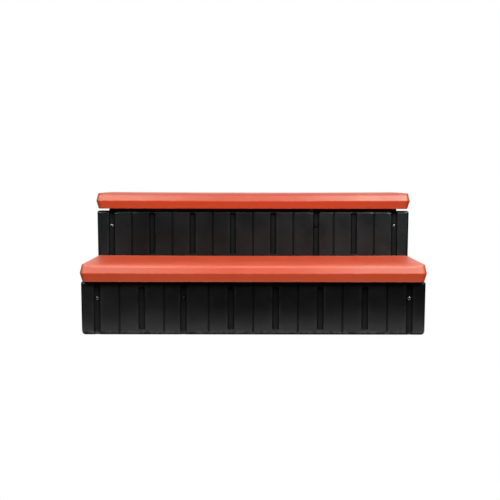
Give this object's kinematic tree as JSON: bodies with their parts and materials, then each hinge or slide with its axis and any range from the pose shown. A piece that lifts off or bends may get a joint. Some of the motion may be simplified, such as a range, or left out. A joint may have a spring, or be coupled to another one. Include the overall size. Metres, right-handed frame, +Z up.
{
  "type": "spa steps",
  "caption": "Wide two-step plastic spa steps: redwood-coloured bevelled treads on black ribbed riser panels, joined to stepped side frames with screws.",
  "frame": {"origin": "on the floor, under the middle of the footprint", "axes": "+X to the right seen from the front, +Y towards the spa (the back), +Z up"},
  "size_m": [0.9144, 0.6096, 0.3725],
  "materials": {
    "tread_redwood": "satin moulded polyethylene with a fine surface texture, terracotta redwood",
    "panel_black": "satin moulded polyethylene, black",
    "frame_black": "satin moulded polyethylene, black",
    "cleat_black": "matte moulded polypropylene, black",
    "screw_steel": "bright stainless steel",
    "screw_dark": "black-coated steel"
  },
  "bodies": {
    "root": {"lower_tread": "tread_redwood", "upper_tread": "tread_redwood", "lower_riser": "panel_black", "upper_riser": "panel_black", "rear_lower_panel": "panel_black", "rear_upper_panel": "panel_black", "side_frame_left": "frame_black", "side_frame_right": "frame_black", "lower_support": "frame_black", "upper_support": "frame_black", "cross_rail": "frame_black", "cleat_lower_left": "cleat_black", "cleat_lower_right": "cleat_black", "cleat_upper_left": "cleat_black", "cleat_upper_right": "cleat_black", "screw_lower_riser_left": "screw_steel", "screw_lower_riser_mid": "screw_dark", "screw_lower_riser_right": "screw_steel", "screw_upper_riser_left": "screw_steel", "screw_upper_riser_mid": "screw_dark", "screw_upper_riser_right": "screw_steel", "screw_rear_lower_left": "screw_steel", "screw_rear_lower_mid": "screw_dark", "screw_rear_lower_right": "screw_steel", "screw_rear_upper_left": "screw_steel", "screw_rear_upper_mid": "screw_dark", "screw_rear_upper_right": "screw_steel", "screw_rail_left_high": "screw_steel", "screw_rail_left_low": "screw_steel", "screw_rail_right_high": "screw_steel", "screw_rail_right_low": "screw_steel", "screw_rail_lower_support": "screw_steel", "screw_rail_upper_support": "screw_steel", "screw_cleat_lower_left_frame_front": "screw_steel", "screw_cleat_lower_left_frame_back": "screw_steel", "screw_cleat_lower_left_tread_front": "screw_steel", "screw_cleat_lower_left_tread_back": "screw_steel", "screw_cleat_lower_right_frame_front": "screw_steel", "screw_cleat_lower_right_frame_back": "screw_steel", "screw_cleat_lower_right_tread_front": "screw_steel", "screw_cleat_lower_right_tread_back": "screw_steel", "screw_cleat_upper_left_frame_front": "screw_steel", "screw_cleat_upper_left_frame_back": "screw_steel", "screw_cleat_upper_left_tread_front": "screw_steel", "screw_cleat_upper_left_tread_back": "screw_steel", "screw_cleat_upper_right_frame_front": "screw_steel", "screw_cleat_upper_right_frame_back": "screw_steel", "screw_cleat_upper_right_tread_front": "screw_steel", "screw_cleat_upper_right_tread_back": "screw_steel"}
  },
  "joints": []
}
